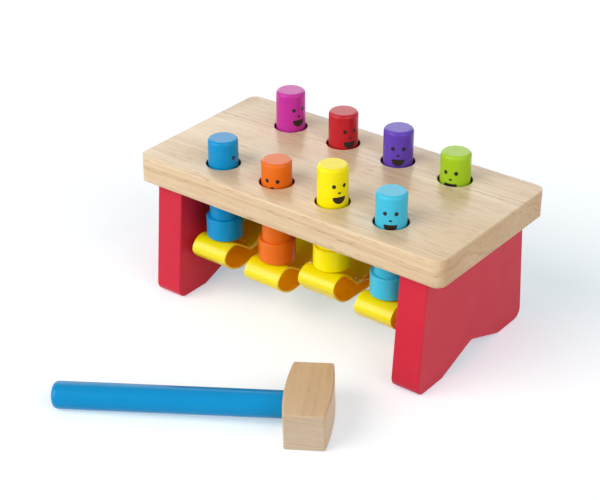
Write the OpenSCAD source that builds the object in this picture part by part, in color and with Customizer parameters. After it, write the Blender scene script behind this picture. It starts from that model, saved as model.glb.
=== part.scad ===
// Peg pounding bench: eight turned pegs stand in a wooden top on two end legs.
// Each front peg and the peg behind it stand on the loops of one rocking band,
// so a blow on one peg lifts the other. The mallet lies in front of the bench.

/* [Tabletop] */
// Length of the tabletop, left to right
top_len = 260; // [250:1:300]
// Depth of the tabletop, front to back
top_depth = 134; // [130:1:150]
// Thickness of the tabletop
top_t = 20; // [16:0.5:24]
// Radius of the four upright corners, seen from above
top_corner_r = 11; // [6:0.5:16]
// Radius rolled over the upper and lower edges
top_edge_r = 1.8; // [0.8:0.1:3]

/* [Peg holes] */
// Distance between the front row and the rear row
row_gap = 78; // [72:0.5:82]
// Width of the gap between a hole's wall and the peg's shaft
hole_gap = 1.5; // [1:0.1:1.8]
// Bevel round the mouth of each hole
hole_bevel = 0.4; // [0.2:0.1:1]

/* [Legs] */
// Height of a leg, from the surface it stands on to the tabletop
leg_h = 88.5; // [84:0.5:100]
// Thickness of a leg
leg_t = 22; // [18:0.5:26]
// Distance from the tabletop's end to the leg's outer face
leg_inset = 14; // [8:0.5:18]
// Distance from the tabletop's front edge to the leg's, where they meet
leg_top_set = 7; // [4:0.5:12]
// Radius of the outer corner of each foot
toe_r = 7.5; // [3:0.5:10]
// Width of the notch between the two feet
notch_w = 73; // [60:1:84]
// Height of the notch at its sharp point
notch_h = 13; // [8:0.5:18]
// Radius at the top of the notch
notch_r = 9; // [4:0.5:14]

/* [Pegs] */
// Diameter of a peg's shaft
peg_d = 21.6; // [20:0.1:23]
// Length of a peg, collar included
peg_len = 77; // [75:0.5:80]
// Rounding of the struck end
peg_round = 2.6; // [1:0.1:4]
// Diameter of the collar that stops the peg under the tabletop
collar_d = 26.6; // [26:0.1:28]
// Height of the collar
collar_h = 16.2; // [14:0.1:18]
// Bevel of the collar's edges
collar_bevel = 0.6; // [0.3:0.1:1]

/* [Rest heights of the pegs above the tabletop] */
// Blue peg, front row
blue_up = 19.6; // [14:0.1:30]
// Orange peg, front row
orange_up = 17; // [14:0.1:30]
// Yellow peg, front row
yellow_up = 28; // [14:0.1:30]
// Sky blue peg, front row
sky_up = 23; // [14:0.1:30]
// Magenta peg, rear row
magenta_up = 28.8; // [14:0.1:30]
// Red peg, rear row
red_up = 25.4; // [14:0.1:30]
// Purple peg, rear row
purple_up = 25.8; // [14:0.1:30]
// Lime peg, rear row
lime_up = 21.4; // [14:0.1:30]

/* [Pivot dowel] */
// Diameter of the dowel that the bands rock on
pivot_d = 10; // [8:0.5:12]
// Height of the dowel's axis
pivot_z = 44; // [43:0.5:46]
// Depth of the dowel's socket in each leg
pivot_socket = 12; // [8:0.5:15]
// Room left behind each end of the dowel
pivot_end_room = 0.3; // [0.2:0.1:1]
// Radial clearance between a band and the dowel
pivot_run = 0.08; // [0.05:0.01:0.1]

/* [Rocking bands] */
// Width of a band along the bench
band_w = 30; // [26:0.5:34]
// Clearance between an end band and the leg beside it
band_leg_gap = 7; // [4:0.5:10]
// Thickness of the plastic strip
band_t = 1.2; // [0.9:0.1:1.6]
// Distance from the pivot to the middle of a loop's crown, where a peg stands
crown_reach = 48; // [47:0.2:49]
// Height of the crown above the arm's own line through the pivot
crown_up = 10.7; // [9.5:0.1:11.5]
// Radius of the crown
crown_r = 11.5; // [10.5:0.1:12.5]
// Radius of a loop's far end
tip_r = 6.5; // [5.5:0.1:7]
// Direction from the crown's centre to the far end's, above the arm's line
tip_turn = 40; // [34:1:46]
// Distance from the pivot to the lowest place of a loop
belly_reach = 38; // [36:0.5:40]
// Depth of the lowest place under the arm's line
belly_down = 12; // [11.5:0.1:13]
// Distance from the pivot to the dip between the dowel and a loop
dip_reach = 26.5; // [26:0.1:27]
// Depth of the dip under the arm's line
dip_down = 1; // [0.6:0.1:1.4]
// Radius of the dip
dip_r = 9.7; // [9:0.1:10]
// Distance from the pivot to where the strip's ends meet the strip above them
pinch_start = 22; // [21.5:0.1:22.5]
// How far the strip's ends run past the dips
tail_run = 3.5; // [3.2:0.1:5]
// Clearance between a peg and the loop that carries it
seat_gap = 0.65; // [0.4:0.05:0.8]

/* [Rivets] */
// Diameter of a rivet's shank
rivet_d = 3; // [2:0.1:4]
// Diameter of a rivet's head
rivet_head_d = 5.4; // [4.4:0.1:6]
// Height of a rivet's head
rivet_head_h = 1.1; // [0.6:0.1:1.6]
// Distance from the band's edge to a rivet's axis
rivet_edge = 3.4; // [3.2:0.1:6]

/* [Leg dowels] */
// Diameter of the hidden dowels that join a leg to the tabletop
joint_d = 8; // [6:0.5:10]
// Depth of a hidden dowel in the tabletop
joint_up = 12; // [8:0.5:13]
// Depth of a hidden dowel in the leg
joint_down = 18; // [12:0.5:24]
// Distance between the two hidden dowels of a leg
joint_gap = 72; // [60:1:84]
// Room left at each end of a hidden dowel
joint_end_room = 0.5; // [0.3:0.1:1]
// Radial clearance of every glued dowel in its hole
glue_fit = 0.05; // [0.02:0.01:0.1]

/* [Mallet] */
// Width of the head across the handle's axis, at its middle
head_w = 32; // [28:0.2:36]
// Height of the head
head_h = 26.6; // [24:0.2:32]
// Length of the head, face to face
head_len = 62.6; // [54:0.2:72]
// Bulge of each long side of the head
head_bulge = 2.5; // [1.5:0.1:3]
// Diameter of the handle
handle_d = 18.6; // [16:0.2:20]
// Distance from the head's centre to the handle's free end
handle_reach = 170; // [150:1:180]
// Rounding of the handle's free end
handle_round = 4; // [2:0.2:6]
// Depth of the handle's blind hole in the head
handle_socket = 19; // [14:0.5:22]
// How far the head's centre lies to the right of the bench's centre
mallet_right = 75; // [60:1:90]
// How far the head's centre lies in front of the bench's centre
mallet_front = 132; // [125:1:150]
// Turn of the handle's free end, away from straight left, towards the viewer
mallet_turn = 31; // [20:1:40]

/* [Hidden] */
$fn = 96;
fine_fn = 360;
arc_steps = 8;
cut = 1;
bite = 0.05;
lap_turn = 12;

// Pegs and holes
peg_r = peg_d / 2;
collar_r = collar_d / 2;
hole_r = peg_r + hole_gap;
deck_z = leg_h + top_t;
row_y = row_gap / 2;
function peg_foot_z(up) = deck_z + up - peg_len;

// Legs: their feet stand as wide as the tabletop is deep
leg_mid_x = top_len / 2 - leg_inset - leg_t / 2;
leg_inner_x = leg_mid_x - leg_t / 2;
leg_foot_w = top_depth;
leg_top_w = top_depth - 2 * leg_top_set;
pivot_r = pivot_d / 2;
pivot_hole_r = pivot_r + glue_fit;
joint_r = joint_d / 2;
joint_hole_r = joint_r + glue_fit;

// Columns of pegs: the end bands keep their clearance from the legs
last_column = 3;
end_column_x = leg_inner_x - band_leg_gap - band_w / 2;
function column_x(column) = end_column_x * (2 * column / last_column - 1);

// Bands: one arm's outline, drawn outward from the pivot. Where two of its lines join, each
// runs into the other by the bite, so that they cross and don't just touch.
bore_r = pivot_r + pivot_run;
eye_r = bore_r + band_t;
crown = [crown_reach, crown_up - crown_r];
dip = [dip_reach, dip_r - dip_down];
tip = crown + (crown_r - tip_r + bite) * dir(tip_turn);
tip_over = tip[1] + belly_down;
belly_r = (pow(tip[0] - belly_reach, 2) + tip_over * tip_over - pow(tip_r - bite, 2))
    / (2 * (tip_over - tip_r + bite));
belly = [belly_reach, belly_r - belly_down];
fall_turn = turn_of(dip) - asin((eye_r + dip_r - 2 * bite) / norm(dip));
climb_turn = turn_of(crown - dip) + asin((dip_r + crown_r - 2 * bite) / norm(crown - dip));
tail_corner = [pinch_start, -dip_down - 2 * band_t];
tail_turn = turn_of(tail_corner) + asin((eye_r - bite) / norm(tail_corner));
function dir(a) = [cos(a), sin(a)];
function turn_of(v) = atan2(v[1], v[0]);
function arm_tilt(up) =
    asin((peg_foot_z(up) - seat_gap - crown_r - pivot_z) / norm(crown)) - turn_of(crown);

// Mallet: it lies on the lower edge of its head and on the end of its handle
handle_r = handle_d / 2;
rest_run = handle_reach - handle_round - head_w / 2;
rest_drop = head_h / 2 - (handle_r - handle_round);
rest_span = sqrt(rest_run * rest_run + rest_drop * rest_drop);
mallet_tilt = atan2(rest_drop, rest_run) - asin(handle_round / rest_span);
mallet_z = head_h / 2 * cos(mallet_tilt) + head_w / 2 * sin(mallet_tilt);
handle_forward = sin(mallet_turn) * cos(mallet_tilt);
mallet_reach_y = mallet_front + (handle_reach - handle_round) * handle_forward
    + (handle_r - handle_round) * sqrt(1 - handle_forward * handle_forward) + handle_round;

// The origin is under the middle of the whole set, so the bench stands behind it
bench_y = (mallet_reach_y - top_depth / 2) / 2;
echo(bench_y = bench_y, mallet_tilt = mallet_tilt, mallet_z = mallet_z);

// Points of an arc from one angle to another
function arc(centre, r, from, to, steps = arc_steps) =
    [for (i = [0:steps]) let (a = from + (to - from) * i / steps)
        [centre[0] + r * cos(a), centre[1] + r * sin(a)]];

// A half outline followed by its mirror image, in reverse
function both_sides(half) =
    concat(half, [for (i = [len(half) - 1:-1:0]) [-half[i][0], half[i][1]]]);

// Rectangle with round corners, centred
module round_rect(size, r) {
    square([size[0], size[1] - 2 * r], center = true);
    square([size[0] - 2 * r, size[1]], center = true);
    for (x = [-1, 1], y = [-1, 1])
        translate([x * (size[0] / 2 - r), y * (size[1] / 2 - r)]) circle(r);
}

// Lays an outline drawn in Y and Z along the X axis
module along_x(length) {
    rotate([90, 0, 90]) linear_extrude(length, center = true) children();
}

module on_bench() {
    translate([0, bench_y, 0]) children();
}

// Tabletop
module top_blank() {
    intersection() {
        linear_extrude(top_t, center = true) round_rect([top_len, top_depth], top_corner_r);
        along_x(top_len + cut) round_rect([top_depth, top_t], top_edge_r);
        rotate([90, 0, 0]) linear_extrude(top_depth + cut, center = true)
            round_rect([top_len, top_t], top_edge_r);
    }
}

module hole_mouth() {
    cylinder(h = hole_bevel + cut, r1 = hole_r, r2 = hole_r + hole_bevel + cut);
}

module peg_hole() {
    cylinder(h = top_t + 2 * cut, r = hole_r, center = true);
    translate([0, 0, top_t / 2 - hole_bevel]) hole_mouth();
    translate([0, 0, hole_bevel - top_t / 2]) mirror([0, 0, 1]) hole_mouth();
}

module at_leg_dowels() {
    for (y = [-1, 1]) translate([0, y * joint_gap / 2, leg_h]) children();
}

module leg_dowel_hole() {
    translate([0, 0, -joint_down - joint_end_room])
        cylinder(h = joint_down + joint_up + 2 * joint_end_room, r = joint_hole_r);
}

module tabletop() {
    color("#E9DCC3") on_bench() difference() {
        translate([0, 0, leg_h + top_t / 2]) top_blank();
        for (column = [0:last_column], side = [-1, 1])
            translate([column_x(column), side * row_y, leg_h + top_t / 2]) peg_hole();
        for (side = [-1, 1])
            translate([side * leg_mid_x, 0, 0]) at_leg_dowels() leg_dowel_hole();
    }
}

// Legs
side_slant = atan2((leg_foot_w - leg_top_w) / 2, leg_h);
toe_set = toe_r * tan(45 + side_slant / 2);
notch_slope = atan2(notch_h, notch_w / 2);
notch_mid_z = notch_h - notch_r / cos(notch_slope);

leg_half = concat(
    arc([0, notch_mid_z], notch_r, 90 - notch_slope / arc_steps, 90 - notch_slope),
    [[notch_w / 2, 0]],
    arc([leg_foot_w / 2 - toe_set, toe_r], toe_r, -90, side_slant),
    [[leg_top_w / 2, leg_h]]
);

module leg(side) {
    color("#C8344A") on_bench() translate([side * leg_mid_x, 0, 0]) difference() {
        along_x(leg_t) polygon(both_sides(leg_half));
        at_leg_dowels() leg_dowel_hole();
        translate([-side * (leg_t / 2 - pivot_socket), 0, pivot_z])
            rotate([0, -side * 90, 0]) cylinder(h = pivot_socket + cut, r = pivot_hole_r);
    }
}

module left_leg() { leg(-1); }
module right_leg() { leg(1); }

module leg_dowels(side) {
    color("#D9C39A") on_bench() translate([side * leg_mid_x, 0, 0]) at_leg_dowels()
        translate([0, 0, -joint_down]) cylinder(h = joint_down + joint_up, r = joint_r);
}

module left_leg_dowels() { leg_dowels(-1); }
module right_leg_dowels() { leg_dowels(1); }

module pivot_dowel() {
    pivot_len = 2 * (leg_inner_x + pivot_socket - pivot_end_room);
    color("#D9C39A") on_bench() translate([0, 0, pivot_z])
        rotate([0, 90, 0]) cylinder(h = pivot_len, r = pivot_r, center = true);
}

// Pegs
peg_outline = concat(
    [
        [0, 0],
        [collar_r - collar_bevel, 0],
        [collar_r, collar_bevel],
        [collar_r, collar_h - collar_bevel],
        [collar_r - collar_bevel, collar_h],
        [peg_r, collar_h]
    ],
    arc([peg_r - peg_round, peg_len - peg_round], peg_round, 0, 90),
    [[0, peg_len]]
);

module peg(column, side, up) {
    on_bench() translate([column_x(column), side * row_y, peg_foot_z(up)])
        rotate_extrude() polygon(peg_outline);
}

module blue_peg() { color("#0F8CCB") peg(0, -1, blue_up); }
module orange_peg() { color("#E8702A") peg(1, -1, orange_up); }
module yellow_peg() { color("#F8E00A") peg(2, -1, yellow_up); }
module sky_peg() { color("#4FBFDD") peg(3, -1, sky_up); }
module magenta_peg() { color("#C8359E") peg(0, 1, magenta_up); }
module red_peg() { color("#BE2A32") peg(1, 1, red_up); }
module purple_peg() { color("#6648A8") peg(2, 1, purple_up); }
module lime_peg() { color("#A3C92E") peg(3, 1, lime_up); }

// Rocking bands. Each is one strip that runs over the dowel, through both dips and round both
// loops, and whose two ends come back under the dowel and are riveted below the dips.
// Places an outline or a point of an arm at the arm's own tilt: end 0 is the front, 1 the rear
module on_arms(tilts) {
    for (end = [0, 1]) mirror([1 - end, 0]) rotate(tilts[end]) children();
}

function place(end, tilts, p) = let (far = norm(p) * dir(turn_of(p) + tilts[end]))
    [(2 * end - 1) * far[0], far[1]];

// The whole form, or what lies inside the strip when the inset is the strip's thickness
module band_form(tilts, inset, length) {
    arm = [
        (eye_r - inset - bite) * dir(fall_turn + 90),
        dip - (dip_r + inset - bite) * dir(fall_turn + 90),
        dip - (dip_r + inset - bite) * dir(climb_turn + 90),
        crown + (crown_r - inset - bite) * dir(climb_turn + 90),
        tip
    ];
    last = len(arm) - 1;
    bellies = [for (end = [0, 1]) place(end, tilts, belly)];
    down = turn_of(bellies[1] - bellies[0]) - 90;
    difference() {
        union() {
            along_x(length) polygon(concat(
                [for (i = [0:last]) place(0, tilts, arm[last - i])],
                [for (i = [0:last]) place(1, tilts, arm[i])],
                [for (end = [1, 0]) bellies[end] + (belly_r - inset - bite) * dir(down)]
            ));
            along_x(length) on_arms(tilts) translate(tip) circle(tip_r - inset);
            along_x(length) on_arms(tilts) intersection() {
                translate(crown) circle(crown_r - inset);
                polygon([
                    crown,
                    crown + 2 * crown_r * dir(tip_turn),
                    crown + 2 * crown_r * dir(climb_turn + 90 + lap_turn)
                ]);
            }
            for (end = [0, 1]) along_x(length) belly_round(bellies[end],
                place(end, tilts, tip), down + (1 - 2 * end) * lap_turn, belly_r - inset);
        }
        along_x(length + 2 * cut) on_arms(tilts) translate(dip) circle(dip_r + inset);
    }
}

// The round underside of a loop, from its far end to where the straight run begins
module belly_round(centre, far_end, inner_turn, r) {
    intersection() {
        translate(centre) circle(r);
        polygon([
            far_end,
            centre + 2 * belly_r * dir(turn_of(far_end - centre)),
            centre + 2 * belly_r * dir(inner_turn),
            centre + belly_r / 2 * dir(inner_turn)
        ]);
    }
}

// The strip's two ends under the dowel, up into the strip above them
module tails(tilts, length) {
    lid_r = dip_r + band_t / 2;
    along_x(length) on_arms(tilts) polygon([
        (eye_r - bite) * dir(tail_turn - 90),
        tail_corner,
        [dip_reach + tail_run, tail_corner[1]],
        dip + [tail_run, -sqrt(lid_r * lid_r - tail_run * tail_run)],
        dip - [dip_reach - pinch_start, sqrt(lid_r * lid_r - pow(dip_reach - pinch_start, 2))],
        tail_corner + band_t * dir(tail_turn + 90),
        (bore_r - bite) * dir(tail_turn - 90)
    ]);
    along_x(length) intersection() {
        circle(eye_r);
        polygon(concat([[0, 0]], [for (end = [1, 0])
            place(end, tilts, 2 * eye_r * dir(tail_turn - 90 + lap_turn))]));
    }
}

module at_rivets(tilts) {
    for (end = [0, 1], x = [-1, 1])
        translate([x * (band_w / 2 - rivet_edge), 0, 0]) rotate([(2 * end - 1) * tilts[end], 0, 0])
            translate([0, (2 * end - 1) * dip_reach, -dip_down - band_t]) children();
}

module band(column, front_up, rear_up) {
    tilts = [arm_tilt(front_up), arm_tilt(rear_up)];
    color("#F4D51C", 0.9) on_bench() translate([column_x(column), 0, pivot_z]) difference() {
        union() {
            band_form(tilts, 0, band_w);
            along_x(band_w) circle(eye_r);
        }
        difference() {
            band_form(tilts, band_t, band_w + 2 * cut);
            tails(tilts, band_w + 4 * cut);
        }
        rotate([0, 90, 0]) cylinder(h = band_w + 2 * cut, r = bore_r, center = true);
        at_rivets(tilts) {
            cylinder(h = 2 * (band_t + cut), r = rivet_d / 2 + glue_fit, center = true);
            translate([0, 0, band_t]) cylinder(h = cut, r = rivet_head_d / 2 + glue_fit);
        }
    }
}

module blue_band() { band(0, blue_up, magenta_up); }
module orange_band() { band(1, orange_up, red_up); }
module yellow_band() { band(2, yellow_up, purple_up); }
module sky_band() { band(3, sky_up, lime_up); }

// A rivet with a low dome on each side, its shank as long as the two layers are thick
module rivet() {
    head_r = rivet_head_d / 2;
    dome_r = (head_r * head_r + rivet_head_h * rivet_head_h) / (2 * rivet_head_h);
    cylinder(h = 2 * band_t, r = rivet_d / 2, center = true);
    for (side = [0, 1]) mirror([0, 0, side]) intersection() {
        translate([0, 0, band_t]) cylinder(h = rivet_head_h, r = head_r);
        translate([0, 0, band_t + rivet_head_h - dome_r]) sphere(dome_r);
    }
}

module band_rivets(column, front_up, rear_up) {
    color("#E8C010") on_bench() translate([column_x(column), 0, pivot_z])
        at_rivets([arm_tilt(front_up), arm_tilt(rear_up)]) rivet();
}

module blue_band_rivets() { band_rivets(0, blue_up, magenta_up); }
module orange_band_rivets() { band_rivets(1, orange_up, red_up); }
module yellow_band_rivets() { band_rivets(2, yellow_up, purple_up); }
module sky_band_rivets() { band_rivets(3, sky_up, lime_up); }

// Mallet, drawn with its handle along +X and its head across it
module mallet_place() {
    on_bench() translate([mallet_right, -mallet_front, mallet_z])
        rotate([0, 0, 180 + mallet_turn]) rotate([0, mallet_tilt, 0]) children();
}

module head_outline() {
    bow_r = (pow(head_len / 2, 2) + head_bulge * head_bulge) / (2 * head_bulge);
    intersection() {
        square([head_w, head_len], center = true);
        translate([head_w / 2 - bow_r, 0]) circle(bow_r, $fn = fine_fn);
        translate([bow_r - head_w / 2, 0]) circle(bow_r, $fn = fine_fn);
    }
}

module mallet_head() {
    color("#D3AC7C") mallet_place() difference() {
        linear_extrude(head_h, center = true) head_outline();
        translate([head_w / 2 - handle_socket, 0, 0]) rotate([0, 90, 0])
            cylinder(h = handle_socket + cut, r = handle_r + glue_fit);
    }
}

module mallet_handle() {
    handle_start = head_w / 2 - handle_socket + joint_end_room;
    handle_len = handle_reach - handle_start;
    outline = concat(
        [[0, 0], [handle_r, 0]],
        arc([handle_r - handle_round, handle_len - handle_round], handle_round, 0, 90),
        [[0, handle_len]]
    );
    color("#0A86C4") mallet_place() translate([handle_start, 0, 0]) rotate([0, 90, 0])
        rotate_extrude() polygon(outline);
}

tabletop();
left_leg();
right_leg();
left_leg_dowels();
right_leg_dowels();
pivot_dowel();
blue_band();
orange_band();
yellow_band();
sky_band();
blue_band_rivets();
orange_band_rivets();
yellow_band_rivets();
sky_band_rivets();
blue_peg();
orange_peg();
yellow_peg();
sky_peg();
magenta_peg();
red_peg();
purple_peg();
lime_peg();
mallet_head();
mallet_handle();
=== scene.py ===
import math

import bmesh
import bpy
from mathutils import Matrix, Vector
from mathutils.bvhtree import BVHTree


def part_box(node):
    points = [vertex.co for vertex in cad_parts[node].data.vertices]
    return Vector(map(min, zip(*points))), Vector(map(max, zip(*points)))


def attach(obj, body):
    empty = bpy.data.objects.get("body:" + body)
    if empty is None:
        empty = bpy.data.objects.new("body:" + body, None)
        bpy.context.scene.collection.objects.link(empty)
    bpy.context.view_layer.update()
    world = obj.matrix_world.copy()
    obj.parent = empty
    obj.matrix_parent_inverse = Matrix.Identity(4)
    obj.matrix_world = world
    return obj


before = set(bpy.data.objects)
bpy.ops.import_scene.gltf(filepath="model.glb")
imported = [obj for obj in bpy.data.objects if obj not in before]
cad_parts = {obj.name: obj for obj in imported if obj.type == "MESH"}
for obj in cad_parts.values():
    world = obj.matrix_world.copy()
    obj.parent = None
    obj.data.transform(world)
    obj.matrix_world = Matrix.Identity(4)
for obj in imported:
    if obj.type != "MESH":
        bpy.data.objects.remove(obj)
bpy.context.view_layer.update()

# A pounding bench with eight pegs and a mallet. Lengths are in metres.

# The pegs of the front row. Each band is named after the front peg that stands on it.
FRONT_ROW = ("blue", "orange", "yellow", "sky")


def new_object(name, data):
    made = bpy.data.objects.new(name, data)
    bpy.context.collection.objects.link(made)
    return made


def shade_smooth(mesh):
    for face in mesh.polygons:
        face.use_smooth = True


# Camera, at the photo's place and angle

CAMERA_SPOT = (0.5871, -0.7310, 0.6084)
CAMERA_YAW = math.radians(37.447)
CAMERA_PITCH = math.radians(29.406)
CAMERA_NEAR = 0.01
CAMERA_FAR = 100.0
FOCAL_PX = 1593.7
PHOTO_W = 600
SENSOR_W = 36.0


def add_camera():
    data = bpy.data.cameras.new("camera")
    data.sensor_fit = "HORIZONTAL"
    data.sensor_width = SENSOR_W
    data.lens = FOCAL_PX * SENSOR_W / PHOTO_W
    data.clip_start = CAMERA_NEAR
    data.clip_end = CAMERA_FAR
    right = Vector((math.cos(CAMERA_YAW), math.sin(CAMERA_YAW), 0.0))
    ahead = Vector((
        -math.sin(CAMERA_YAW) * math.cos(CAMERA_PITCH),
        math.cos(CAMERA_YAW) * math.cos(CAMERA_PITCH),
        -math.sin(CAMERA_PITCH),
    ))
    up = right.cross(ahead)
    turn = Matrix((right, up, -ahead)).transposed().to_4x4()
    camera = new_object("camera", data)
    camera.matrix_world = Matrix.Translation(CAMERA_SPOT) @ turn
    bpy.context.scene.camera = camera


add_camera()

# Colours and node graphs

WHITE = (1.0, 1.0, 1.0, 1.0)


def srgb(r, g, b):
    """Linear colour from 8-bit screen values."""
    def linear(c):
        c = c / 255
        return c / 12.92 if c <= 0.04045 else ((c + 0.055) / 1.055) ** 2.4
    return (linear(r), linear(g), linear(b), 1.0)


def shaded(colour, *shares):
    """A colour with its red, green and blue each multiplied by a share."""
    return tuple(c * share for c, share in zip(colour, shares)) + (1.0,)


class Graph:
    """The node tree of a material or a world, built from the coordinates to the surface."""

    def __init__(self, owner):
        self.owner = owner
        owner.use_nodes = True
        self.tree = owner.node_tree
        self.tree.nodes.clear()

    def node(self, kind, inputs=None, **settings):
        """A new node. Its inputs go by name or number, and take values or other outputs."""
        made = self.tree.nodes.new(kind)
        for key, value in settings.items():
            setattr(made, key, value)
        for key, value in (inputs or {}).items():
            self.feed(made.inputs[key], value)
        return made

    def feed(self, socket, value):
        if isinstance(value, bpy.types.NodeSocket):
            self.tree.links.new(value, socket)
        else:
            socket.default_value = value

    def coords(self, scale=(1, 1, 1), turn=(0, 0, 0), shift=(0, 0, 0)):
        """The object's own coordinates, turned into the grain's direction and then stretched."""
        spot = self.node("ShaderNodeTexCoord").outputs["Object"]
        turned = self.node("ShaderNodeMapping", {
            "Vector": spot, "Rotation": turn, "Location": shift,
        })
        return self.node("ShaderNodeMapping", {
            "Vector": turned.outputs["Vector"], "Scale": scale,
        }).outputs["Vector"]

    def noise(self, vector, scale, detail, roughness=0.5):
        return self.node("ShaderNodeTexNoise", {
            "Vector": vector, "Scale": scale, "Detail": detail, "Roughness": roughness,
        }).outputs["Fac"]

    def ramp(self, value, span, low=0.0, high=1.0):
        """A value that goes from low to high while another one crosses a span."""
        made = self.node("ShaderNodeValToRGB", {"Fac": value})
        for point, place, level in zip(made.color_ramp.elements, span, (low, high)):
            point.position = place
            point.color = (level, level, level, 1.0)
        return made.outputs["Color"]

    def mix(self, share, a, b, blend="MIX"):
        made = self.node("ShaderNodeMix", {"Factor": share}, data_type="RGBA", blend_type=blend)
        # The node has inputs for every kind of value, and only two of them are colours
        first, second = [socket for socket in made.inputs if socket.type == "RGBA"]
        self.feed(first, a)
        self.feed(second, b)
        return next(socket for socket in made.outputs if socket.type == "RGBA")

    def math(self, operation, a, b=0.0):
        return self.node("ShaderNodeMath", {0: a, 1: b}, operation=operation).outputs["Value"]

    def bump(self, height, distance, strength):
        return self.node("ShaderNodeBump", {
            "Height": height, "Distance": distance, "Strength": strength,
        }).outputs["Normal"]

    def seen(self):
        """1 for what is seen directly, in gloss or through glass, and 0 for bounced light."""
        path = self.node("ShaderNodeLightPath").outputs
        seen = self.math("MAXIMUM", path["Is Camera Ray"], path["Is Glossy Ray"])
        return self.math("MAXIMUM", seen, path["Is Transmission Ray"])

    def surface(self, **inputs):
        names = {
            "colour": "Base Color", "roughness": "Roughness", "normal": "Normal",
            "coat": "Coat Weight", "coat_roughness": "Coat Roughness",
            "coat_normal": "Coat Normal", "level": "Specular IOR Level",
        }
        made = self.node("ShaderNodeBsdfPrincipled", {names[k]: v for k, v in inputs.items()})
        return made.outputs["BSDF"]

    def finish(self, shader, kind="ShaderNodeOutputMaterial"):
        self.node(kind, {"Surface": shader})
        return self.owner


# Wood

# Each noise in the wood: stretch along the grain, scale, detail and roughness
WOOD_NOISES = {
    "sway": (0.09, 26.0, 2.0, 0.5),
    "ripple": (0.12, 90.0, 2.0, 0.5),
    "broad": (0.16, 34.0, 3.0, 0.5),
    "streak": (0.035, 330.0, 3.0, 0.6),
    "fibre": (0.025, 1500.0, 2.0, 0.6),
    "pore": (0.075, 1150.0, 1.0, 0.4),
}
RIPPLE_REACH = 0.004
RING_DETAIL = 3.0
RING_ROUGHNESS = 0.62
# The span of its noise over which each feature of the wood comes in
BROAD_SPAN = (0.32, 0.7)
RING_SPAN = (0.42, 0.68)
STREAK_SPAN = (0.5, 0.74)
PORE_SPAN = (0.6, 0.7)
CROWD_SPAN = (0.38, 0.6)
FIBRE_SPAN = (0.35, 0.65)
GLOSS_SPAN = (0.3, 0.7)
# A face becomes an end face while its normal's share along the grain crosses this span
END_SPAN = (0.6, 0.95)
PORE_SHARES = (0.62, 0.52, 0.42)
PORES_BETWEEN_RINGS = 0.25
FIBRE_SHADE = 0.1
FIBRE_HEIGHT = 0.4
WOOD_ROUGHNESS = (0.36, 0.46)
WOOD_LEVEL = 0.25
LACQUER_ROUGHNESS = 0.13


def wood(name, pale, warm, brown, turn=0.0, heart=(0.02, -0.13), ring=0.0034, rings=0.3,
         streaks=0.26, pores=0.5, seed=0.0, coat=0.2, sway_reach=0.034, end_tone=None):
    """Lacquered close-grained wood, its grain along X after a turn about Z. The heart is the
    middle of the growth rings, in Y and Z, so long faces show streaks and end faces arcs."""
    g = Graph(bpy.data.materials.new(name))
    rotation = (0.0, 0.0, turn)
    shift = (seed, 0.0, 0.0)
    noises = {
        key: g.noise(g.coords((stretch, 1, 1), rotation, shift), *look)
        for key, (stretch, *look) in WOOD_NOISES.items()
    }

    # The distance from the heart, with a slow sway and a small ripple, gives the growth rings
    place = g.node("ShaderNodeSeparateXYZ", {"Vector": g.coords(turn=rotation, shift=shift)})
    y = g.math("SUBTRACT", place.outputs["Y"], heart[0])
    z = g.math("SUBTRACT", place.outputs["Z"], heart[1])
    reach = g.math("SQRT", g.math("ADD", g.math("MULTIPLY", y, y), g.math("MULTIPLY", z, z)))
    reach = g.math("ADD", reach, g.math("MULTIPLY", noises["sway"], sway_reach))
    reach = g.math("ADD", reach, g.math("MULTIPLY", noises["ripple"], RIPPLE_REACH))
    growth = g.node("ShaderNodeTexNoise", {
        "W": g.math("DIVIDE", reach, ring), "Scale": 1.0,
        "Detail": RING_DETAIL, "Roughness": RING_ROUGHNESS,
    }, noise_dimensions="1D").outputs["Fac"]

    colour = g.mix(g.ramp(noises["broad"], BROAD_SPAN), pale, warm)
    colour = g.mix(g.ramp(growth, RING_SPAN, high=rings), colour, brown)
    colour = g.mix(g.ramp(noises["streak"], STREAK_SPAN, high=streaks), colour, brown)
    # Pores are dense where the growth is dark
    specks = g.ramp(noises["pore"], PORE_SPAN, high=pores)
    crowd = g.ramp(growth, CROWD_SPAN, low=PORES_BETWEEN_RINGS)
    specks = g.math("MULTIPLY", specks, crowd)
    colour = g.mix(specks, colour, shaded(brown, *PORE_SHARES))
    fibres = g.ramp(noises["fibre"], FIBRE_SPAN, low=FIBRE_SHADE, high=0.0)
    colour = g.mix(fibres, colour, warm, "MULTIPLY")
    if end_tone:
        normal = g.node("ShaderNodeTexCoord").outputs["Normal"]
        turned = g.node("ShaderNodeMapping", {"Vector": normal, "Rotation": rotation})
        parts = g.node("ShaderNodeSeparateXYZ", {"Vector": turned.outputs["Vector"]})
        ends = g.ramp(g.math("ABSOLUTE", parts.outputs["X"]), END_SPAN)
        colour = g.mix(ends, colour, end_tone, "MULTIPLY")

    height = g.math("SUBTRACT", g.math("MULTIPLY", noises["fibre"], FIBRE_HEIGHT), specks)
    return g.finish(g.surface(
        colour=colour,
        roughness=g.ramp(noises["streak"], GLOSS_SPAN, *WOOD_ROUGHNESS),
        normal=g.bump(height, distance=0.00006, strength=0.6),
        coat=coat,
        coat_roughness=LACQUER_ROUGHNESS,
        coat_normal=g.bump(noises["fibre"], distance=0.00002, strength=0.25),
        level=WOOD_LEVEL,
    ))


# Paint

# The stretch of the wood's lines under the paint: round a turned piece, or along a board
TURNED_LINES = (0.04, 0.04, 1.0)
BOARD_LINES = (1.0, 0.25, 0.04)
# The span of the cloud noise over which paint and plastic change their tone and roughness
CLOUD_SPAN = (0.3, 0.7)
PAINT_DEPTH = 0.8
PAINT_LINES = 0.5
PAINT_SMOOTHER = 0.02
PAINT_ROUGHER = 0.03


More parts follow.
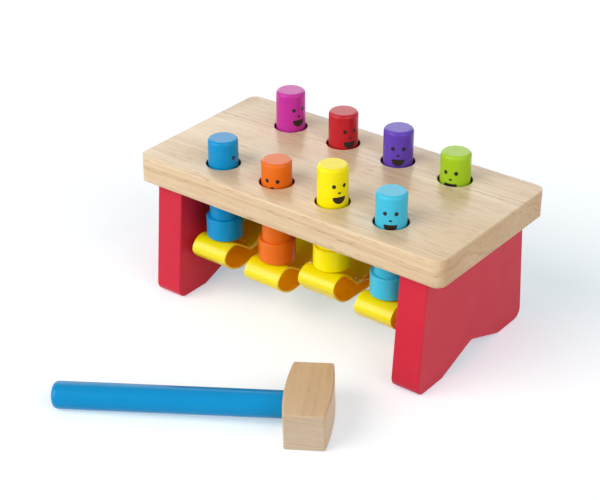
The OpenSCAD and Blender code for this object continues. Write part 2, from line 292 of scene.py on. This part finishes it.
def paint(name, colour, roughness=0.2, coat=0.08, coat_roughness=0.06, deep=0.94, level=0.16,
          turned=True):
    """Paint over wood: a little unevenness in its depth, and the wood's lines under it."""
    g = Graph(bpy.data.materials.new(name))
    cloud = g.noise(g.coords(), scale=45.0, detail=2.0)
    fine = g.noise(g.coords(), scale=420.0, detail=2.0)
    lines = g.noise(g.coords(TURNED_LINES if turned else BOARD_LINES), scale=1300.0, detail=2.0)
    depth = g.ramp(cloud, CLOUD_SPAN, high=PAINT_DEPTH)
    height = g.math("ADD", g.math("MULTIPLY", lines, PAINT_LINES), fine)
    return g.finish(g.surface(
        colour=g.mix(depth, colour, shaded(colour, deep, deep, deep)),
        roughness=g.ramp(cloud, CLOUD_SPAN, roughness - PAINT_SMOOTHER, roughness + PAINT_ROUGHER),
        normal=g.bump(height, distance=0.000012, strength=0.3),
        coat=coat,
        coat_roughness=coat_roughness,
        coat_normal=g.bump(fine, distance=0.000006, strength=0.15),
        level=level,
    ))


# Plastic strip

STRIP_LINES = (1.0, 0.03, 0.03)
STRIP_DEPTH = 0.5
STRIP_ROUGHNESS = (0.16, 0.2)
STRIP_LEVEL = 0.5


def strip_plastic(name, colour, deep, glow, share):
    """Glossy plastic that lets a share of warm light through, with faint drawing lines."""
    g = Graph(bpy.data.materials.new(name))
    cloud = g.noise(g.coords(), scale=60.0, detail=2.0)
    lines = g.noise(g.coords(STRIP_LINES), scale=900.0, detail=2.0)
    body = g.surface(
        colour=g.mix(g.ramp(cloud, CLOUD_SPAN, high=STRIP_DEPTH), colour, deep),
        roughness=g.ramp(cloud, CLOUD_SPAN, *STRIP_ROUGHNESS),
        normal=g.bump(lines, distance=0.000006, strength=0.3),
        level=STRIP_LEVEL,
    )
    through = g.node("ShaderNodeBsdfTranslucent", {"Color": glow}).outputs["BSDF"]
    both = g.node("ShaderNodeMixShader", {"Fac": share, 1: body, 2: through})
    return g.finish(both.outputs["Shader"])


# The finishes of the bench and the mallet

PALE = srgb(233, 211, 177)
WARM = srgb(221, 192, 153)
BROWN = srgb(188, 146, 104)

materials = {
    "tabletop": wood("top_wood", PALE, WARM, BROWN, end_tone=srgb(240, 228, 215)),
    "dowel": wood("dowel_wood", PALE, WARM, BROWN, heart=(0.0, 0.2), seed=0.7, coat=0.0),
    "mallet": wood(
        "mallet_wood", srgb(225, 194, 155), srgb(216, 183, 142), srgb(186, 150, 112),
        turn=math.radians(-121.0), heart=(0.0, -0.6), ring=0.0015, streaks=0.2, pores=0.2,
        seed=1.9, sway_reach=0.006, end_tone=(0.82, 0.91, 1.1, 1.0),
    ),
    "leg": paint(
        "leg_paint", srgb(209, 41, 63), roughness=0.36, coat=0.05, coat_roughness=0.2,
        turned=False,
    ),
    "handle": paint("handle_paint", srgb(0, 142, 202), coat=0.05, level=0.14, turned=False),
    "band": strip_plastic(
        "band_plastic", srgb(255, 254, 10), srgb(255, 247, 4), glow=srgb(255, 192, 6), share=0.28,
    ),
    # Painted light: a deeper orange on the loops' insides, for the light that shines through the
    # strip
    "band_inside_painted_glow": strip_plastic(
        "band_inside_painted_glow_plastic", srgb(255, 222, 14), srgb(255, 214, 8), glow=srgb(255, 208, 12),
        share=0.6,
    ),
    # Painted shade: the holes' walls are a dark raw wood, for the shade down in the holes
    "hole": wood("hole_wood", srgb(120, 88, 56), srgb(104, 72, 44), srgb(80, 54, 32), coat=0.0),
    "mark": paint("face_paint", srgb(46, 34, 30), roughness=0.42, coat=0.3, deep=0.7),
}

PEG_COLOURS = {
    "blue": srgb(0, 146, 206),
    "orange": srgb(236, 112, 22),
    "yellow": srgb(255, 236, 0),
    "sky": srgb(66, 194, 226),
    "magenta": srgb(198, 50, 160),
    "red": srgb(192, 34, 44),
    "purple": srgb(100, 66, 184),
    "lime": srgb(164, 204, 34),
}

# CAD nodes: finish, softened edges and smooth shading

WELD_REACH = 0.000002
FLAT_ANGLE = math.radians(0.2)
EDGE_ANGLE = math.radians(30.0)


def dress(node, material, edge, segments=3, merge_flat=True, clamp=True):
    """Gives a CAD node its finish, and softens its edges by a width."""
    piece = bpy.data.objects[node]
    if piece.material_slots:
        for slot in piece.material_slots:
            slot.material = material
    else:
        piece.data.materials.append(material)
    shade_smooth(piece.data)
    weld = piece.modifiers.new("weld", "WELD")
    weld.merge_threshold = WELD_REACH
    if merge_flat:
        # Flat faces become one face each again, so that the bevel has room
        flat = piece.modifiers.new("flat", "DECIMATE")
        flat.decimate_type = "DISSOLVE"
        flat.angle_limit = FLAT_ANGLE
    bevel = piece.modifiers.new("edges", "BEVEL")
    bevel.width = edge
    bevel.segments = segments
    bevel.limit_method = "ANGLE"
    bevel.angle_limit = EDGE_ANGLE
    bevel.harden_normals = not merge_flat
    # A clamped bevel is as narrow everywhere as the node's smallest face allows
    bevel.use_clamp_overlap = clamp
    bevel.loop_slide = clamp
    bevel.miter_outer = "MITER_ARC"
    if merge_flat:
        # Large flat faces keep their own direction, and the rounded edges take up the turn
        even = piece.modifiers.new("even", "WEIGHTED_NORMAL")
        even.mode = "FACE_AREA"
        even.keep_sharp = True


dress("tabletop", materials["tabletop"], edge=0.0008, merge_flat=False)
for side in ("left", "right"):
    dress(side + "_leg", materials["leg"], edge=0.0011, clamp=False)
    dress(side + "_leg_dowels", materials["dowel"], edge=0.0002)
dress("pivot_dowel", materials["dowel"], edge=0.0004)
dress("mallet_head", materials["mallet"], edge=0.0012, clamp=False)
dress("mallet_handle", materials["handle"], edge=0.0002)
for name in FRONT_ROW:
    dress(name + "_band", materials["band"], edge=0.00025, segments=2)
    dress(name + "_band_rivets", materials["band"], edge=0.00015, segments=2)
for name, colour in PEG_COLOURS.items():
    dress(name + "_peg", paint(name + "_paint", colour), edge=0.0002, segments=2)

# Second finishes: painted glow on the insides of the bands' loops, painted shade on the holes'
# walls

# How far a loop is across inside, and the radius round a peg's middle that holds its hole
LOOP_REACH = 0.03
HOLE_REACH = 0.0127
# A ray starts this far off its own face
RAY_START = 0.0001
# A face looks along an axis if its normal has more than this share along it
FACING = 0.5


def peg_place(name):
    """A peg's middle in X and Y, and the height of its struck end."""
    low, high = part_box(name + "_peg")
    return (low[0] + high[0]) / 2, (low[1] + high[1]) / 2, high[2]


def add_finish(node, material, chosen):
    """Gives the chosen faces of a node a finish of their own."""
    piece = bpy.data.objects[node]
    piece.data.materials.append(material)
    last = len(piece.data.materials) - 1
    for face in piece.data.polygons:
        if chosen(face):
            face.material_index = last


def looks_inward(tree, face):
    """True if a face of a band looks across the inside of a loop at the band itself."""
    if abs(face.normal.x) > FACING:
        return False
    start = face.center + face.normal * RAY_START
    return tree.ray_cast(start, face.normal, LOOP_REACH)[0] is not None


def is_hole_wall(places, face):
    """True if a face of the tabletop is upright and close round the middle of a peg."""
    if abs(face.normal.z) > FACING:
        return False
    return any(
        math.hypot(face.center.x - x, face.center.y - y) < HOLE_REACH for x, y, _ in places
    )


# The insides of the loops get the painted orange glow
for name in FRONT_ROW:
    data = bpy.data.objects[name + "_band"].data
    tree = BVHTree.FromPolygons(
        [v.co for v in data.vertices], [list(face.vertices) for face in data.polygons]
    )
    add_finish(name + "_band", materials["band_inside_painted_glow"], lambda face: looks_inward(tree, face))

# The walls of the holes get the painted shade
peg_places = [peg_place(name) for name in PEG_COLOURS]
add_finish("tabletop", materials["hole"], lambda face: is_hole_wall(peg_places, face))

# Faces: thin paint on the shafts

PEG_R = 0.0108
PAINT_LIFT = 0.00005
PAINT_SINK = 0.0001

# The marks of a face, measured down from the struck end and sideways round the shaft
EYE_DROP = 0.0122
EYE_SIDE = 0.00386
EYE_SIZE = (0.00142, 0.0015)
NOSE_DROP = 0.0172
NOSE_SIZE = (0.0012, 0.00072)
MOUTH_DROP = 0.0202
MOUTH_SIZE = (0.0047, 0.0051)
MOUTH_CORNER = 0.0006
# The point of the mouth that its rings close in on, as a share of its height
MOUTH_MIDDLE = 0.42

# Where each face looks, in degrees from +X towards +Y
FACE_TURNS = {
    "blue": 12.0,
    "orange": -69.0,
    "yellow": -29.0,
    "sky": -58.5,
    "magenta": -19.5,
    "red": -27.5,
    "purple": -56.0,
    "lime": -76.0,
}

RING_STEPS = 5
OUTLINE_STEPS = 40
CORNER_STEPS = 5
FLAT_STEPS = 24
MARK_CREASE = math.radians(40.0)


def oval(size):
    return [
        (size[0] * math.cos(2 * math.pi * i / OUTLINE_STEPS),
         size[1] * math.sin(2 * math.pi * i / OUTLINE_STEPS))
        for i in range(OUTLINE_STEPS)
    ]


def smile():
    """An open mouth: flat above with small round corners, half an oval below."""
    half_w, height = MOUTH_SIZE
    corner = MOUTH_CORNER
    points = []
    for i in range(OUTLINE_STEPS // 2 + 1):
        a = math.pi * i / (OUTLINE_STEPS // 2)
        points.append((half_w * math.cos(a), corner + (height - corner) * math.sin(a)))
    for i in range(1, CORNER_STEPS):
        a = math.pi / 2 * i / CORNER_STEPS
        points.append((corner * (1 - math.cos(a)) - half_w, corner * (1 - math.sin(a))))
    # The flat edge has many points, because it bends round the shaft
    flat = half_w - corner
    points += [(flat * (2 * i / FLAT_STEPS - 1), 0.0) for i in range(FLAT_STEPS + 1)]
    for i in range(1, CORNER_STEPS):
        a = math.pi / 2 * (1 - i / CORNER_STEPS)
        points.append((half_w - corner * (1 - math.cos(a)), corner * (1 - math.sin(a))))
    middle = height * MOUTH_MIDDLE
    return [(u, v - middle) for u, v in points], middle


def add_mark(mesh, outline, centre, place, turn):
    """One mark: rings of points from its middle to its outline, wrapped round the shaft. The
    last ring is sunk into the shaft, so that no gap shows at the mark's edge."""
    x, y, top = place

    def point(u, v, radius):
        a = turn + (centre[0] + u) / PEG_R
        return (x + radius * math.cos(a), y + radius * math.sin(a), top - centre[1] - v)

    radius = PEG_R + PAINT_LIFT
    middle = mesh.verts.new(point(0.0, 0.0, radius))
    rings = [
        [mesh.verts.new(point(u * k / RING_STEPS, v * k / RING_STEPS, radius)) for u, v in outline]
        for k in range(1, RING_STEPS + 1)
    ]
    rings.append([mesh.verts.new(point(u, v, PEG_R - PAINT_SINK)) for u, v in outline])
    count = len(outline)
    for i in range(count):
        j = (i + 1) % count
        mesh.faces.new((middle, rings[0][i], rings[0][j]))
        for inner, outer in zip(rings, rings[1:]):
            mesh.faces.new((inner[i], outer[i], outer[j], inner[j]))


def add_face(name, turn):
    place = peg_place(name)
    mesh = bmesh.new()
    for side in (-1, 1):
        add_mark(mesh, oval(EYE_SIZE), (side * EYE_SIDE, EYE_DROP), place, turn)
    add_mark(mesh, oval(NOSE_SIZE), (0.0, NOSE_DROP), place, turn)
    outline, middle = smile()
    add_mark(mesh, outline, (0.0, MOUTH_DROP + middle), place, turn)
    bmesh.ops.recalc_face_normals(mesh, faces=mesh.faces)
    data = bpy.data.meshes.new(name + "_face")
    mesh.to_mesh(data)
    mesh.free()
    data.materials.append(materials["mark"])
    shade_smooth(data)
    data.set_sharp_from_angle(angle=MARK_CREASE)
    piece = new_object(name + "_face", data)
    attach(piece, name + "_peg")


for name, turn in FACE_TURNS.items():
    add_face(name, math.radians(turn))

# Floor, world and lamps

FLOOR_HALF = 6.0
# The floor's colour for light that bounces on, and its colour and glow where it is seen, which
# together are white in the open and a neutral grey in shadow
FLOOR_TONE = (0.76, 0.76, 0.76, 1.0)
FLOOR_SHADE = (0.95, 0.83, 0.745, 1.0)
FLOOR_GLOW = (0.25, 0.38, 0.46, 1.0)
# The world's level for the light it gives, and where it is seen
WORLD_LEVEL = 0.33
WORLD_SEEN = 1.0
# Each sun: its level, the azimuth and height it shines from, and its spread, in degrees
SUNS = {
    "key": (2.25, -117.0, 29.0, 56.0),
    "fill": (1.05, -14.0, 28.0, 54.0),
}
# The panel behind the bench is only there for the sheen on the level surfaces
BACK_SIZE = (2.6, 1.7)
BACK_SPOT = (-1.0, 1.45, 1.15)
BACK_AIM = (0.0, 0.05, 0.1)
BACK_RADIANCE = 1.8


def add_floor():
    h = FLOOR_HALF
    mesh = bpy.data.meshes.new("floor")
    mesh.from_pydata([(-h, -h, 0), (h, -h, 0), (h, h, 0), (-h, h, 0)], [], [(0, 1, 2, 3)])
    floor = new_object("floor", mesh)
    g = Graph(bpy.data.materials.new("floor"))
    seen = g.seen()
    matt = g.node("ShaderNodeBsdfDiffuse", {"Color": g.mix(seen, FLOOR_TONE, FLOOR_SHADE)})
    lift = g.node("ShaderNodeEmission", {"Color": FLOOR_GLOW, "Strength": seen})
    both = g.node("ShaderNodeAddShader", {0: matt.outputs["BSDF"], 1: lift.outputs["Emission"]})
    mesh.materials.append(g.finish(both.outputs["Shader"]))


def add_world():
    world = bpy.data.worlds.new("world")
    bpy.context.scene.world = world
    g = Graph(world)
    level = g.node("ShaderNodeMapRange", {
        "Value": g.seen(), "To Min": WORLD_LEVEL, "To Max": WORLD_SEEN,
    })
    shade = g.node("ShaderNodeBackground", {"Color": WHITE, "Strength": level.outputs["Result"]})
    g.finish(shade.outputs["Background"], "ShaderNodeOutputWorld")


def aim(lamp, spot, target=(0.0, 0.0, 0.0)):
    lamp.location = spot
    lamp.rotation_euler = (Vector(target) - Vector(spot)).to_track_quat("-Z", "Y").to_euler()


def add_lamps():
    for name, (level, azimuth, height, spread) in SUNS.items():
        sun = bpy.data.lights.new(name, "SUN")
        sun.energy = level
        sun.angle = math.radians(spread)
        azimuth, height = math.radians(azimuth), math.radians(height)
        aim(new_object(name, sun), (
            math.cos(height) * math.cos(azimuth),
            math.cos(height) * math.sin(azimuth),
            math.sin(height),
        ))
    panel = bpy.data.lights.new("back_panel", "AREA")
    panel.shape = "RECTANGLE"
    panel.size, panel.size_y = BACK_SIZE
    panel.energy = BACK_RADIANCE * math.pi * BACK_SIZE[0] * BACK_SIZE[1]
    back = new_object("back_panel", panel)
    back.visible_diffuse = False
    aim(back, BACK_SPOT, BACK_AIM)


add_floor()
add_world()
add_lamps()

bpy.context.scene.view_settings.view_transform = "Standard"
